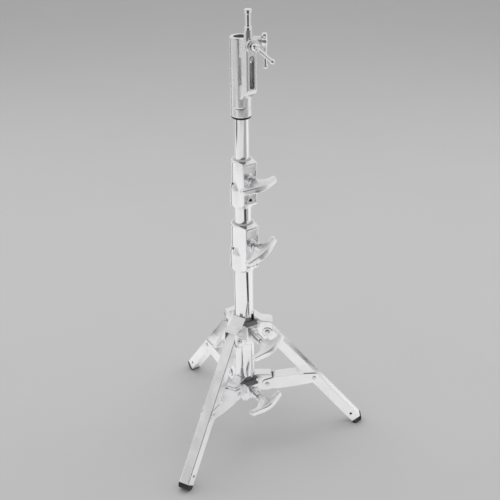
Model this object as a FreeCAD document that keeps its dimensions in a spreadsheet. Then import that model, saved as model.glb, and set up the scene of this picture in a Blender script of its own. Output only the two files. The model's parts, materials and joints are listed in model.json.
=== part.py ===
import FreeCAD, Part
import os
import re
import Sketcher

# Low light stand: a folding tripod base, two clamped risers and a combination head.
# Millimetres, +Z up, origin on the floor under the column, right-hand leg along +X.
# Heights are worked up from the floor, through the legs, to the top of the spigot.

SIZES = {
    # Fits between pieces
    "seat_clearance": 0.05,
    "running_clearance": 0.05,
    "working_gap": 0.3,
    # Column tubes
    "base_tube_diameter": 44.45,
    "middle_tube_diameter": 38.1,
    "top_tube_diameter": 31.75,
    "tube_wall": 2.0,
    "base_tube_length": 395.0,
    "middle_tube_length": 488.0,
    "top_tube_length": 565.0,
    "middle_tube_shown": 40.5,
    "top_tube_shown": 93.0,
    "slider_flange": 10.0,
    "slider_shank": 20.0,
    "riser_stop_gap": 2.0,
    "end_plug_flange": 4.0,
    "end_button_diameter": 20.0,
    "end_button_height": 26.0,
    # Legs and feet
    "leg_width": 25.4,
    "leg_wall": 1.6,
    "leg_length": 344.0,
    "leg_top": 12.0,
    "leg_angle": 40.0,
    "leg_pivot_radius": 54.0,
    "leg_bolt_diameter": 8.0,
    "bolt_head_diameter": 13.0,
    "bolt_head_height": 4.5,
    "leg_hole_diameter": 6.5,
    "leg_hole_distance": 21.0,
    "foot_thickness": 12.0,
    "foot_flat": 3.0,
    "foot_plug": 11.0,
    # Leg collar, the upper spider that slides on the column
    "spider_wall": 6.2,
    "leg_collar_below": 30.0,
    "leg_collar_above": 28.0,
    "gusset_height": 45.0,
    "lug_wall": 4.0,
    "lug_reach": 13.0,
    "lug_roof": 4.5,
    "lug_head_room": 23.0,
    "lug_drop": 22.0,
    "lug_inner_radius": 33.0,
    "lug_boss_diameter": 22.0,
    "lug_boss_height": 1.5,
    # Brace collar, the lower spider at the foot of the column
    "brace_collar_below": 22.0,
    "brace_collar_above": 11.0,
    "tongue_radius": 19.0,
    "tongue_reach": 11.0,
    "tongue_rise": 27.0,
    "tongue_round": 8.0,
    "tongue_width": 25.2,
    "column_below_collar": 6.0,
    # Clamp blocks on both spiders
    "clamp_face_radius": 39.0,
    "clamp_width": 31.0,
    "leg_clamp_above": 22.0,
    "brace_clamp_above": 17.0,
    "clamp_below_screw": 19.0,
    "leg_clamp_height": 6.0,
    "brace_clamp_drop": 6.0,
    "barrel_diameter": 26.0,
    "barrel_length": 12.0,
    "neck_diameter": 19.0,
    "leg_handle_radius": 80.0,
    "brace_handle_radius": 70.0,
    "spider_azimuth": -60.0,
    "leg_handle_tilt": 27.0,
    "brace_handle_tilt": 21.0,
    # Braces
    "brace_joint_distance": 177.5,
    "brace_rise": 8.0,
    "brace_pivot_radius": 54.0,
    "brace_sheet": 2.2,
    "brace_depth": 34.0,
    "brace_end_depth": 25.0,
    "brace_web_gap": 0.6,
    "brace_web_setback": 42.0,
    "rivet_diameter": 8.0,
    "rivet_head_diameter": 11.0,
    "rivet_head_height": 2.0,
    # Riser collars
    "lower_collar_height": 116.5,
    "upper_collar_height": 111.0,
    "collar_grip": 50.0,
    "collar_skirt_wall": 8.0,
    "collar_neck_wall": 3.5,
    "collar_rim_height": 5.0,
    "collar_rim_lip": 0.8,
    "collar_block_depth": 8.0,
    "collar_block_width": 35.0,
    "collar_block_bottom": 7.0,
    "collar_block_slope": 8.0,
    "collar_edge_round": 3.0,
    "collar_shoulder": 18.0,
    "collar_frame": 3.5,
    "collar_recess": 4.0,
    "collar_screw_height": 72.5,
    "collar_fixing_height": 25.0,
    "collar_pad_diameter": 27.0,
    "collar_boss_diameter": 20.0,
    "collar_boss_length": 6.0,
    "collar_hole_diameter": 5.0,
    "collar_hole_depth": 3.0,
    "collar_hole_height": 57.0,
    "fixing_screw_diameter": 8.0,
    "fixing_socket_diameter": 4.5,
    "fixing_socket_depth": 4.0,
    "bush_wall": 3.6,
    "lower_collar_azimuth": -57.0,
    "upper_collar_azimuth": -60.0,
    "lower_handle_tilt": 32.0,
    "upper_handle_tilt": 9.0,
    # Wing handles and their screws
    "handle_span": 90.0,
    "handle_gap": 2.0,
    "handle_root": 6.0,
    "handle_tip_setback": 12.0,
    "handle_depth": 45.0,
    "handle_thickness": 17.0,
    "handle_tip_width": 15.0,
    "handle_hub_diameter": 18.0,
    "handle_hub_length": 30.0,
    "handle_hollow_width": 7.0,
    "handle_hollow_depth": 9.0,
    "handle_edge_radius": 5.0,
    "clamp_screw_diameter": 10.0,
    "clamp_screw_in_handle": 18.0,
    "clamp_pad_thickness": 4.5,
    # Combination head
    "head_diameter": 44.45,
    "head_height": 168.5,
    "head_grip": 45.0,
    "head_ring_height": 20.0,
    "head_ring_depth": 0.8,
    "head_ring_width": 2.0,
    "socket_diameter": 28.6,
    "socket_depth": 110.0,
    "gasket_thickness": 4.5,
    "gasket_wall": 5.2,
    "head_pin_diameter": 6.0,
    "head_pin_height": 14.0,
    "head_azimuth": -58.0,
    "pocket_radius": 30.0,
    "pocket_width": 26.0,
    "pocket_wall": 4.0,
    "pocket_bottom": 44.0,
    "pocket_floor": 22.0,
    "pocket_slope": 22.0,
    "pocket_edge_round": 3.0,
    "window_width": 11.0,
    "window_bottom": 73.0,
    "head_screw_drop": 11.5,
    "head_groove_diameter": 7.0,
    "head_groove_radius": 21.0,
    "spigot_boss_diameter": 26.0,
    "spigot_boss_length": 7.0,
    "socket_boss_diameter": 22.0,
    "socket_boss_length": 20.0,
    "socket_lever_azimuth": 54.0,
    "socket_lever_tilt": -90.0,
    "spigot_lever_tilt": -42.0,
    # Levers on the head
    "lever_hub_diameter": 17.0,
    "lever_hub_length": 13.0,
    "lever_long_arm": 51.0,
    "lever_short_arm": 19.0,
    "lever_stub_arm": 11.0,
    "lever_arm_width": 8.0,
    "lever_arm_thickness": 7.0,
    "lever_knob_diameter": 12.0,
    "lever_arm_rise": 2.0,
    "lever_gap": 0.5,
    "lever_screw_in_hub": 8.0,
    # Spigot
    "spigot_diameter": 15.88,
    "spigot_neck_diameter": 12.6,
    "spigot_lip": 8.0,
    "spigot_neck": 27.6,
    "spigot_ring": 5.0,
    "spigot_slope": 1.6,
    "spigot_taper": 19.0,
    "spigot_shank_diameter": 19.0,
    "spigot_shank": 48.0,
    "spigot_chamfer": 1.2,
    "peg_diameter": 8.0,
    "peg_height": 10.0,
    "peg_seat_depth": 5.0,
    "peg_inset": 1.0,
}

doc = FreeCAD.newDocument("low_light_stand")
sheet = doc.addObject("Spreadsheet::Sheet", "Sizes")
for row, (alias, size) in enumerate(SIZES.items(), start=1):
    sheet.set(f"A{row}", alias)
    sheet.set(f"B{row}", str(size))
    sheet.setAlias(f"B{row}", alias)
doc.recompute()


# Expressions

def bound(text):
    """The expression with the name of each size pointed at its cell."""
    return re.sub(r"[a-z]\w+", lambda word: "Sizes." + word[0] if word[0] in SIZES else word[0], text)


def number(text):
    """The present value of an expression."""
    return float(sheet.evalExpression(bound(text)))


# Heights and radii that follow from the driving sizes

BASE_TUBE_R = "(base_tube_diameter / 2)"
MIDDLE_TUBE_R = "(middle_tube_diameter / 2)"
TOP_TUBE_R = "(top_tube_diameter / 2)"
LEG_HALF = "(leg_width / 2)"
LEG_PIVOT_Z = f"((leg_length + foot_thickness) * cos(leg_angle) + {LEG_HALF} * sin(leg_angle) - foot_flat)"
BRACE_RUN = "(leg_pivot_radius + brace_joint_distance * sin(leg_angle) - brace_pivot_radius)"
BRACE_LENGTH = f"({BRACE_RUN} / cos(brace_rise))"
BRACE_PIVOT_Z = f"({LEG_PIVOT_Z} - brace_joint_distance * cos(leg_angle) - {BRACE_RUN} * tan(brace_rise))"
BRACE_INNER = f"({LEG_HALF} + working_gap)"
BRACE_OUTER = f"({BRACE_INNER} + brace_sheet)"
TONGUE_SWEEP = ("(sqrt((tongue_reach - tongue_round) ^ 2 + (tongue_rise - tongue_round) ^ 2)"
                " + tongue_round + brace_web_gap)")
BRACE_WEB_START = f"sqrt({TONGUE_SWEEP} ^ 2 - (brace_depth / 2 - brace_sheet) ^ 2)"
LUG_HALF = f"({LEG_HALF} + working_gap + lug_wall)"
BOLT_SEAT = f"({LUG_HALF} + lug_boss_height)"
SPIDER_R = f"({BASE_TUBE_R} + running_clearance + spider_wall)"
BASE_TUBE_Z = f"({BRACE_PIVOT_Z} - brace_collar_below - column_below_collar)"
BASE_TUBE_TOP = f"({BASE_TUBE_Z} + base_tube_length)"
LOWER_COLLAR_Z = f"({BASE_TUBE_TOP} - collar_grip)"
LOWER_COLLAR_TOP = f"({LOWER_COLLAR_Z} + lower_collar_height)"
MIDDLE_FLOOR = f"({BASE_TUBE_Z} + slider_flange + riser_stop_gap + slider_flange)"
UPPER_COLLAR_Z = (f"max({LOWER_COLLAR_TOP} + middle_tube_shown;"
                  f" {MIDDLE_FLOOR} + middle_tube_length - collar_grip)")
UPPER_COLLAR_TOP = f"({UPPER_COLLAR_Z} + upper_collar_height)"
MIDDLE_TUBE_TOP = f"({UPPER_COLLAR_Z} + collar_grip)"
MIDDLE_TUBE_Z = f"({MIDDLE_TUBE_TOP} - middle_tube_length)"
TOP_FLOOR = f"({MIDDLE_TUBE_Z} + slider_shank + riser_stop_gap + slider_flange)"
GASKET_Z = (f"max({UPPER_COLLAR_TOP} + top_tube_shown;"
            f" {TOP_FLOOR} + top_tube_length - head_grip - gasket_thickness)")
HEAD_Z = f"({GASKET_Z} + gasket_thickness)"
TOP_TUBE_TOP = f"({HEAD_Z} + head_grip)"
TOP_TUBE_Z = f"({TOP_TUBE_TOP} - top_tube_length)"
SPIGOT_R = "(spigot_shank_diameter / 2)"
POCKET_FACE = f"(pocket_radius + {SPIGOT_R} + running_clearance + pocket_wall)"
SCREW_BORE = "(clamp_screw_diameter + 2 * running_clearance)"
HEAD_SCREW = "(head_height - head_screw_drop)"
PEG_Z = "(peg_height - spigot_shank)"
WINDOW_TOP = f"(head_height + {PEG_Z} + working_gap)"


# Modelling steps

AXIS_X = FreeCAD.Vector(1, 0, 0)
AXIS_Y = FreeCAD.Vector(0, 1, 0)
AXIS_Z = FreeCAD.Vector(0, 0, 1)
subparts = []


def new_body(label):
    """An empty sub-part, listed for writing."""
    body = doc.addObject("PartDesign::Body", label)
    body.Label = label
    subparts.append(body)
    return body


def place(body, azimuth="0", radius="0", height="0", pitch="0", roll="0"):
    """Stands a sub-part at a radius, azimuth and height about the column's axis."""
    spot = f"vector({radius} * cos({azimuth}); {radius} * sin({azimuth}); {height})"
    turn = f"rotation({azimuth}; {pitch}; {roll})"
    body.setExpression("Placement", bound(f"placement({spot}; {turn})"))


def new_sketch(body, plane, start="0"):
    """A sketch parallel to one of the body's own planes, moved along its normal."""
    sketch = body.newObject("Sketcher::SketchObject", body.Name + "_sketch")
    support = [feature for feature in body.Origin.OriginFeatures if feature.Role == plane][0]
    sketch.AttachmentSupport = [(support, "")]
    sketch.MapMode = "FlatFace"
    sketch.setExpression("AttachmentOffset.Base.z", bound(start))
    return sketch


def turn_sketch(sketch, azimuth):
    """Turns a sketch on the YZ plane about the upright axis."""
    angle = number(azimuth)
    sketch.AttachmentOffset = FreeCAD.Placement(FreeCAD.Vector(), FreeCAD.Rotation(AXIS_Y, angle))
    sketch.setExpression("AttachmentOffset.Rotation.Angle", bound(azimuth))


def fix_point(sketch, geometry, point, spot):
    """Ties one sketch point to a pair of expressions."""
    for kind, text in zip(("DistanceX", "DistanceY"), spot):
        rule = Sketcher.Constraint(kind, -1, 1, geometry, point, number(text))
        index = sketch.addConstraint(rule)
        sketch.setExpression(f"Constraints[{index}]", bound(text))


def draw_outline(sketch, points):
    """A closed outline of straight lines through points given as expressions."""
    corners = [FreeCAD.Vector(number(x), number(y), 0) for x, y in points]
    count = len(corners)
    for i in range(count):
        sketch.addGeometry(Part.LineSegment(corners[i], corners[(i + 1) % count]))
    for i in range(count):
        sketch.addConstraint(Sketcher.Constraint("Coincident", i, 2, (i + 1) % count, 1))
    for i, spot in enumerate(points):
        fix_point(sketch, i, 1, spot)


def draw_circle(sketch, centre, diameter):
    """A circle whose centre and diameter are expressions."""
    spot = FreeCAD.Vector(number(centre[0]), number(centre[1]), 0)
    radius = number(diameter) / 2
    circle = sketch.addGeometry(Part.Circle(spot, FreeCAD.Vector(0, 0, 1), radius))
    fix_point(sketch, circle, 3, centre)
    index = sketch.addConstraint(Sketcher.Constraint("Diameter", circle, 2 * radius))
    sketch.setExpression(f"Constraints[{index}]", bound(diameter))


def extrude(body, sketch, length, cut):
    """Adds or cuts the sketch's shape along its plane's normal."""
    kind = "PartDesign::Pocket" if cut else "PartDesign::Pad"
    feature = body.newObject(kind, sketch.Name + ("_cut" if cut else "_pad"))
    feature.Profile = sketch
    feature.Reversed = cut
    feature.setExpression("Length", bound(length))
    return feature


def prism(body, plane, points, start, length, cut=False):
    """A straight-sided block, or a cut of that shape."""
    sketch = new_sketch(body, plane, start)
    draw_outline(sketch, points)
    return extrude(body, sketch, length, cut)


def disc(body, plane, centre, diameter, start, length, cut=False):
    """A round bar, or a bore of that shape."""
    sketch = new_sketch(body, plane, start)
    draw_circle(sketch, centre, diameter)
    return extrude(body, sketch, length, cut)


def turned(body, points, axis="V_Axis", cut=False):
    """A turned shape about one of the axes of the XZ plane, or a groove of that shape."""
    sketch = new_sketch(body, "XZ_Plane")
    draw_outline(sketch, points)
    kind = "PartDesign::Groove" if cut else "PartDesign::Revolution"
    feature = body.newObject(kind, sketch.Name + "_turn")
    feature.Profile = sketch
    feature.ReferenceAxis = (sketch, [axis])
    feature.Angle = 360
    return feature


def around(body, features, count=3):
    """Repeats features about the upright axis."""
    axis = [feature for feature in body.Origin.OriginFeatures if feature.Role == "Z_Axis"][0]
    pattern = body.newObject("PartDesign::PolarPattern", body.Name + "_pattern")
    pattern.Originals = features
    pattern.Axis = (axis, [""])
    pattern.Angle = 360
    pattern.Occurrences = count
    body.Tip = pattern
    return pattern


def round_edges(body, radius, wanted):
    """Rounds the edges of the body for which wanted() is true."""
    doc.recompute()
    base = body.Tip
    names = [f"Edge{i}" for i, edge in enumerate(base.Shape.Edges, start=1) if wanted(edge)]
    fillet = body.newObject("PartDesign::Fillet", body.Name + "_fillet")
    fillet.Base = (base, names)
    fillet.setExpression("Radius", bound(radius))
    return fillet


def runs_along(edge, axis):
    """Whether an edge is straight and parallel to an axis."""
    if edge.Curve.TypeId != "Part::GeomLine":
        return False
    return abs(abs(edge.Curve.Direction.dot(axis)) - 1) < 1e-6


# Column

def make_tube(label, outer_radius, bottom, top):
    """One straight tube of the column."""
    body = new_body(label)
    sketch = new_sketch(body, "XY_Plane", bottom)
    draw_circle(sketch, ("0", "0"), f"2 * {outer_radius}")
    draw_circle(sketch, ("0", "0"), f"2 * ({outer_radius} - tube_wall)")
    extrude(body, sketch, f"{top} - {bottom}", cut=False)
    return body


def make_slider(label, tube_radius, guide_radius, tube_bottom):
    """Plug in the foot of a riser, whose flange runs inside the tube below."""
    body = new_body(label)
    shank = f"({tube_radius} - tube_wall - seat_clearance)"
    flange = f"({guide_radius} - tube_wall - running_clearance)"
    low = f"({tube_bottom} - slider_flange)"
    hollow = f"({shank} - tube_wall)"
    turned(body, [
        (hollow, low),
        (flange, low),
        (flange, tube_bottom),
        (shank, tube_bottom),
        (shank, f"{tube_bottom} + slider_shank"),
        (hollow, f"{tube_bottom} + slider_shank"),
    ])


def make_column():
    """The three tubes and the plugs in their lower ends."""
    make_tube("base_tube", BASE_TUBE_R, BASE_TUBE_Z, BASE_TUBE_TOP)
    make_tube("middle_tube", MIDDLE_TUBE_R, MIDDLE_TUBE_Z, MIDDLE_TUBE_TOP)
    make_slider("middle_slider", MIDDLE_TUBE_R, BASE_TUBE_R, MIDDLE_TUBE_Z)
    top_tube = make_tube("top_tube", TOP_TUBE_R, TOP_TUBE_Z, TOP_TUBE_TOP)
    disc(top_tube, "YZ_Plane", ("0", f"{HEAD_Z} + head_pin_height"),
         "head_pin_diameter + 2 * seat_clearance", f"-{TOP_TUBE_R}", TOP_TUBE_R, cut=True)
    place(top_tube, "head_azimuth")
    make_slider("top_slider", TOP_TUBE_R, MIDDLE_TUBE_R, TOP_TUBE_Z)

    plug = new_body("base_end_plug")
    shank = f"({BASE_TUBE_R} - tube_wall - seat_clearance)"
    flange_z = f"({BASE_TUBE_Z} - end_plug_flange)"
    turned(plug, [
        ("0", f"{flange_z} - end_button_height"),
        ("end_button_diameter / 4", f"{flange_z} - end_button_height"),
        ("end_button_diameter / 2", f"{flange_z} - end_button_height * 0.7"),
        ("end_button_diameter / 2", flange_z),
        (BASE_TUBE_R, flange_z),
        (BASE_TUBE_R, BASE_TUBE_Z),
        (shank, BASE_TUBE_Z),
        (shank, f"{BASE_TUBE_Z} + slider_flange"),
        ("0", f"{BASE_TUBE_Z} + slider_flange"),
    ])


# Wing handles with their screws and pads

def make_handle(label, azimuth, height, back, tilt):
    """Cast wing handle: a hub on the screw's axis and two arms hollowed at the back."""
    body = new_body(label)
    half_span = "(handle_span / 2)"
    hub_radius = "(handle_hub_diameter / 2)"
    tip_front = "(handle_depth - handle_tip_setback)"
    tip_back = f"({tip_front} - handle_tip_width)"
    wing = [
        ("handle_root", "0"),
        ("handle_root", hub_radius),
        (f"{tip_back} * 0.6 + handle_root * 0.4", f"{half_span} * 0.45"),
        (f"{tip_back} * 0.95 + handle_root * 0.05", f"{half_span} * 0.75"),
        (tip_back, half_span),
        (tip_front, half_span),
        ("handle_depth - handle_tip_setback * 0.3", f"{half_span} * 0.4"),
        ("handle_depth", "0"),
    ]
    mirrored = [(x, f"-({y})") for x, y in reversed(wing[1:-1])]
    prism(body, "XY_Plane", wing + mirrored, "-handle_thickness / 2", "handle_thickness")
    tip_y = number(half_span)
    round_edges(body, "handle_tip_width / 2 - 0.5",
                lambda edge: runs_along(edge, AXIS_Z) and abs(abs(edge.CenterOfMass.y) - tip_y) < 1e-3)
    flat_z = number("handle_thickness / 2")
    round_edges(body, "handle_edge_radius", lambda edge: abs(abs(edge.CenterOfMass.z) - flat_z) < 1e-3)
    disc(body, "YZ_Plane", ("0", "0"), "handle_hub_diameter", "0", "handle_hub_length")
    for side in ("1", "-1"):
        inner = f"{side} * ({hub_radius} + 2)"
        outer = f"{side} * ({half_span} - handle_tip_width * 0.7)"
        half_hollow = "(handle_hollow_width / 2)"
        prism(body, "YZ_Plane", [(inner, f"-{half_hollow}"), (outer, f"-{half_hollow}"),
                                 (outer, half_hollow), (inner, half_hollow)],
              "0", f"{tip_back} + handle_hollow_depth", cut=True)
    disc(body, "YZ_Plane", ("0", "0"), "clamp_screw_diameter + 2 * seat_clearance",
         "0", "clamp_screw_in_handle", cut=True)
    place(body, azimuth, back, height, roll=tilt)


def make_screw(label, azimuth, height, tip, end):
    """Clamp screw along a radius, with a turned-down tip."""
    body = new_body(label)
    radius = "(clamp_screw_diameter / 2)"
    turned(body, [
        (tip, "0"),
        (tip, f"{radius} - 1.5"),
        (f"{tip} + 1.5", radius),
        (end, radius),
        (end, "0"),
    ], axis="H_Axis")
    place(body, azimuth, height=height)


def make_pad(label, azimuth, height, tube_radius):
    """Friction pad between a clamp screw and a tube, hollowed to the tube."""
    body = new_body(label)
    face = f"({tube_radius} + working_gap)"
    disc(body, "YZ_Plane", ("0", "0"), "clamp_screw_diameter", f"{face} - 2", "2 + clamp_pad_thickness")
    disc(body, "XY_Plane", ("0", "0"), f"2 * {face}",
         "-clamp_screw_diameter", "2 * clamp_screw_diameter", cut=True)
    place(body, azimuth, height=height)


def make_clamp(name, azimuth, height, tube_radius, handle_back, tilt):
    """Pad, screw and wing handle of one clamp."""
    screw_tip = f"({tube_radius} + 2 * working_gap + clamp_pad_thickness)"
    make_pad(name + "_clamp_pad", azimuth, height, tube_radius)
    make_screw(name + "_clamp_screw", azimuth, height, screw_tip, f"({handle_back} + clamp_screw_in_handle)")
    make_handle(name + "_t_handle", azimuth, height, handle_back, tilt)


# Spiders

def add_clamp_block(body, screw_z, above_screw, handle_back):
    """Block with a stepped barrel for the clamp screw, on the +X side of a spider."""
    half = "(clamp_width / 2)"
    top = f"{screw_z} + {above_screw}"
    low = f"{screw_z} - clamp_below_screw"
    prism(body, "XZ_Plane", [("0", low), ("clamp_face_radius", low), ("clamp_face_radius", top), ("0", top)],
          f"-{half}", "clamp_width")
    face = number("clamp_face_radius")
    round_edges(body, "lug_wall / 2",
                lambda edge: runs_along(edge, AXIS_Z) and abs(edge.CenterOfMass.x - face) < 1e-3)
    centre = ("0", screw_z)
    disc(body, "YZ_Plane", centre, "barrel_diameter", "0", "clamp_face_radius + barrel_length")
    disc(body, "YZ_Plane", centre, "neck_diameter", "0", f"{handle_back} - handle_gap")


def bore_spider(body, screw_z, low, height, handle_back):
    """Column bore and clamp screw bore of a spider."""
    disc(body, "XY_Plane", ("0", "0"), "base_tube_diameter + 2 * running_clearance",
         f"{low} - clamp_below_screw", f"{height} + clamp_below_screw", cut=True)
    disc(body, "YZ_Plane", ("0", screw_z), SCREW_BORE, "0", handle_back, cut=True)


def make_leg_collar():
    """Upper spider: a sleeve with three hooded lugs that the legs swing in."""
    body = new_body("leg_collar")
    low = f"({LEG_PIVOT_Z} - leg_collar_below)"
    high = f"({LEG_PIVOT_Z} + leg_collar_above)"
    screw_z = f"({LEG_PIVOT_Z} + leg_clamp_height)"
    roof = "(lug_head_room + lug_roof)"
    turned(body, [
        ("0", low),
        (f"{SPIDER_R} - 1.5", low),
        (SPIDER_R, f"{low} + 1.5"),
        (SPIDER_R, f"{high} - 1.5"),
        (f"{SPIDER_R} - 1.5", high),
        ("0", high),
    ])
    add_clamp_block(body, screw_z, "leg_clamp_above", "leg_handle_radius")

    def lug_point(out, up):
        """A point on the -X lug, measured from the leg's pivot."""
        return f"-(leg_pivot_radius + {out})", f"{LEG_PIVOT_Z} + {up}"

    lug = prism(body, "XZ_Plane", [
        (f"-{BASE_TUBE_R}", f"{LEG_PIVOT_Z} + gusset_height"),
        lug_point("0 - lug_reach", f"{roof} + 3"),
        lug_point("lug_reach - 4", roof),
        lug_point("lug_reach", f"{roof} - 3"),
        lug_point("lug_reach", "0 - 2"),
        lug_point("lug_reach / 2", "0 - lug_drop * 0.7"),
        lug_point("0 - lug_reach / 2", "0 - lug_drop"),
        (f"-{BASE_TUBE_R}", f"{LEG_PIVOT_Z} - lug_drop - 2"),
    ], f"-{LUG_HALF}", f"2 * {LUG_HALF}")
    slot = prism(body, "XZ_Plane", [
        ("-lug_inner_radius", f"{LEG_PIVOT_Z} + lug_head_room"),
        lug_point("lug_reach + lug_wall", "lug_head_room"),
        lug_point("lug_reach + lug_wall", "0 - 2 * lug_drop"),
        ("-lug_inner_radius", f"{LEG_PIVOT_Z} - 2 * lug_drop"),
    ], f"-({LEG_HALF} + working_gap)", f"2 * ({LEG_HALF} + working_gap)", cut=True)
    pivot = ("-leg_pivot_radius", LEG_PIVOT_Z)
    near = disc(body, "XZ_Plane", pivot, "lug_boss_diameter", LUG_HALF, "lug_boss_height")
    far = disc(body, "XZ_Plane", pivot, "lug_boss_diameter", f"-{BOLT_SEAT}", "lug_boss_height")
    hole = disc(body, "XZ_Plane", pivot, "leg_bolt_diameter + 2 * seat_clearance",
                f"-{BOLT_SEAT}", f"2 * {BOLT_SEAT}", cut=True)
    around(body, [lug, slot, near, far, hole])
    bore_spider(body, screw_z, low, "leg_collar_below + gusset_height", "leg_handle_radius")
    place(body, "spider_azimuth")
    make_clamp("leg", "spider_azimuth", screw_z, BASE_TUBE_R, "leg_handle_radius", "leg_handle_tilt")


def make_brace_collar():
    """Lower spider: a sleeve with three tongues that carry the braces."""
    body = new_body("brace_collar")
    low = f"({BRACE_PIVOT_Z} - brace_collar_below)"
    high = f"({BRACE_PIVOT_Z} + brace_collar_above)"
    screw_z = f"({BRACE_PIVOT_Z} - brace_clamp_drop)"
    turned(body, [
        ("0", low),
        (f"{SPIDER_R} - 2", low),
        (SPIDER_R, f"{low} + 2"),
        (SPIDER_R, high),
        ("0", high),
    ])
    add_clamp_block(body, screw_z, "brace_clamp_above", "brace_handle_radius")
    half = "(tongue_width / 2)"

    def tongue_point(out, up):
        """A point on the -X tongue, measured from the brace's pivot."""
        return f"-(brace_pivot_radius + {out})", f"{BRACE_PIVOT_Z} + {up}"

    corner = tongue_point("tongue_reach - tongue_round", "tongue_rise - tongue_round")
    arm = prism(body, "XZ_Plane", [
        ("0", f"{BRACE_PIVOT_Z} + tongue_rise"),
        tongue_point("tongue_reach - tongue_round", "tongue_rise"),
        tongue_point("tongue_reach - tongue_round", "tongue_rise - tongue_round"),
        tongue_point("tongue_reach", "tongue_rise - tongue_round"),
        tongue_point("tongue_reach", "0"),
        tongue_point("0", "0 - tongue_radius"),
        ("0", f"{BRACE_PIVOT_Z} - tongue_radius"),
    ], f"-{half}", "tongue_width")
    nose = disc(body, "XZ_Plane", corner, "2 * tongue_round", f"-{half}", "tongue_width")
    centre = ("-brace_pivot_radius", BRACE_PIVOT_Z)
    tip = disc(body, "XZ_Plane", centre, "2 * tongue_radius", f"-{half}", "tongue_width")
    hole = disc(body, "XZ_Plane", centre, "rivet_diameter + 2 * seat_clearance",
                f"-{half}", "tongue_width", cut=True)
    around(body, [arm, nose, tip, hole])
    bore_spider(body, screw_z, low, "brace_collar_below + tongue_rise", "brace_handle_radius")
    place(body, "spider_azimuth")
    make_clamp("brace", "spider_azimuth", screw_z, BASE_TUBE_R, "brace_handle_radius", "brace_handle_tilt")


# Legs, feet and braces

LEG_AZIMUTHS = {"right": "0", "rear": "120", "front": "240"}


def make_bolts(label, radius, height, diameter, head_diameter, head_height, half_length):
    """Three alike headed pins, one across each lug of a spider."""
    body = new_body(label)
    body.AllowCompound = True
    centre = (radius, height)
    shank = disc(body, "XZ_Plane", centre, diameter, f"-{half_length}", f"2 * {half_length}")
    near = disc(body, "XZ_Plane", centre, head_diameter, half_length, head_height)
    far = disc(body, "XZ_Plane", centre, head_diameter, f"-({half_length} + {head_height})", head_height)
    around(body, [shank, near, far])


def make_leg(name, azimuth):
    """Square tube leg and its rubber foot, drawn along +X from the leg's pivot."""
    leg = new_body(name + "_leg")
    inner = f"({LEG_HALF} - leg_wall)"
    prism(leg, "YZ_Plane", [(f"-{LEG_HALF}", f"-{LEG_HALF}"), (LEG_HALF, f"-{LEG_HALF}"),
                            (LEG_HALF, LEG_HALF), (f"-{LEG_HALF}", LEG_HALF)],
          "-leg_top", "leg_top + leg_length")
    round_edges(leg, "leg_wall", lambda edge: runs_along(edge, AXIS_X))
    prism(leg, "YZ_Plane", [(f"-{inner}", f"-{inner}"), (inner, f"-{inner}"),
                            (inner, inner), (f"-{inner}", inner)],
          "-leg_top", "leg_top + leg_length", cut=True)
    disc(leg, "XZ_Plane", ("0", "0"), "leg_bolt_diameter + 2 * running_clearance",
         f"-{LEG_HALF}", "leg_width", cut=True)
    disc(leg, "XZ_Plane", ("leg_length - leg_hole_distance", "0"), "leg_hole_diameter",
         f"-{LEG_HALF}", "leg_width", cut=True)

    foot = new_body(name + "_foot")
    plug = f"({inner} - seat_clearance)"
    prism(foot, "XZ_Plane", [
        ("leg_length", f"-{LEG_HALF}"),
        ("leg_length + foot_thickness - foot_flat / cos(leg_angle)", f"-{LEG_HALF}"),
        ("leg_length + foot_thickness", f"-{LEG_HALF} + foot_flat / sin(leg_angle)"),
        ("leg_length + foot_thickness", f"{LEG_HALF} - foot_thickness / 2"),
        ("leg_length + foot_thickness / 2", LEG_HALF),
        ("leg_length", LEG_HALF),
    ], f"-{LEG_HALF}", "leg_width")
    prism(foot, "YZ_Plane", [(f"-{plug}", f"-{plug}"), (plug, f"-{plug}"), (plug, plug), (f"-{plug}", plug)],
          "leg_length - foot_plug", "foot_plug")
    for body in (leg, foot):
        place(body, azimuth, "leg_pivot_radius", LEG_PIVOT_Z, pitch="90 - leg_angle")


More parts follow.
